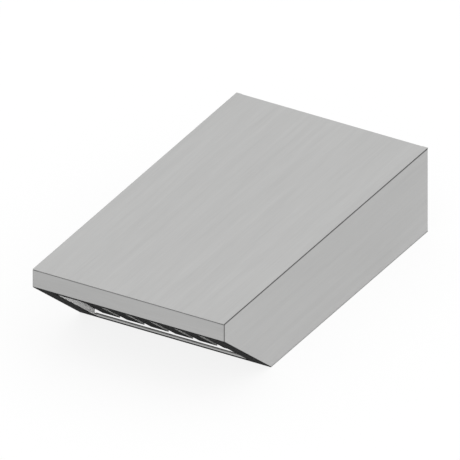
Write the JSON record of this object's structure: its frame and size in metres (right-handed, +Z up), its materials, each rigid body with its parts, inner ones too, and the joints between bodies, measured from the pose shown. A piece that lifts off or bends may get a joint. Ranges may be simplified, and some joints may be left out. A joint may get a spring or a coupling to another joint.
{
  "type": "condensation hood",
  "caption": "Countertop condensation hood for a combi oven: stainless casing with an inclined front intake, swing-down baffle filter, air-cooled condenser and fan",
  "frame": {"origin": "middle of the underside's bounding box: centred left to right and front to back, on the plane the hood rests on", "axes": "X to the right seen from the front, Y to the rear, Z up"},
  "size_m": [0.52, 0.96, 0.228],
  "materials": {
    "stainless": "satin",
    "inner_steel": "mill finish",
    "dark_coating": "fine texture",
    "seal": "matte",
    "fins": "bright",
    "magnet_case": "matte",
    "galvanised": "satin",
    "motor_black": "satin",
    "shaft_steel": "ground",
    "circuit_board": "matte",
    "gland_plastic": "matte",
    "brass_fitting": "satin"
  },
  "bodies": {
    "casing": {"top_cover": "stainless", "top_gasket": "seal", "right_side_panel": "stainless", "left_side_panel": "stainless", "front_fascia": "stainless", "fascia_seals": "seal", "intake_frame": "dark_coating", "right_intake_cheek": "stainless", "left_intake_cheek": "stainless", "drip_channel": "stainless", "lip_trim": "seal", "base_panel": "stainless", "rear_panel": "stainless", "front_cover_stiffener": "galvanised", "rear_cover_stiffener": "galvanised", "filter_studs": "inner_steel", "right_catch_magnet": "magnet_case", "left_catch_magnet": "magnet_case", "right_catch_bracket": "galvanised", "left_catch_bracket": "galvanised", "coil_front_plate": "galvanised", "right_steam_tank": "inner_steel", "left_steam_tank": "inner_steel", "condenser_tubes": "inner_steel", "condenser_fins": "fins", "condensate_tray": "inner_steel", "drain_pipe": "inner_steel", "vent_collar": "inner_steel", "steam_pipe": "inner_steel", "fan_partition": "galvanised", "fan_inlet_ring": "galvanised", "motor_bearings": "shaft_steel", "motor_stator": "motor_black", "motor_bridge": "galvanised", "control_box": "galvanised", "control_box_lid": "galvanised", "control_board": "circuit_board", "cable_gland": "gland_plastic", "earth_stud": "brass_fitting", "rear_screws": "shaft_steel", "base_inserts": "galvanised"},
    "baffle_filter": {"filter_slat_1": "dark_coating", "filter_slat_2": "dark_coating", "filter_slat_3": "dark_coating", "filter_slat_4": "dark_coating", "filter_slat_5": "dark_coating", "filter_slat_6": "dark_coating", "filter_baffle_1": "dark_coating", "filter_baffle_2": "dark_coating", "filter_baffle_3": "dark_coating", "filter_baffle_4": "dark_coating", "filter_baffle_5": "dark_coating", "right_filter_rail": "dark_coating", "left_filter_rail": "dark_coating", "lower_filter_comb": "inner_steel", "upper_filter_comb": "inner_steel", "filter_pull_plate": "inner_steel"},
    "fan_wheel": {"fan_impeller": "inner_steel", "motor_rotor": "motor_black", "motor_shaft": "shaft_steel"}
  },
  "joints": [
    {"name": "filter_swing", "type": "hinge", "parent": "casing", "child": "baffle_filter", "pos_m": [0, -0.2834, 0.0484], "axis": [1, 0, 0], "range_deg": [0, 45]},
    {"name": "impeller_spin", "type": "hinge", "parent": "casing", "child": "fan_wheel", "pos_m": [0, 0.1595, 0.15], "axis": [0, 0, 1], "continuous": true}
  ]
}
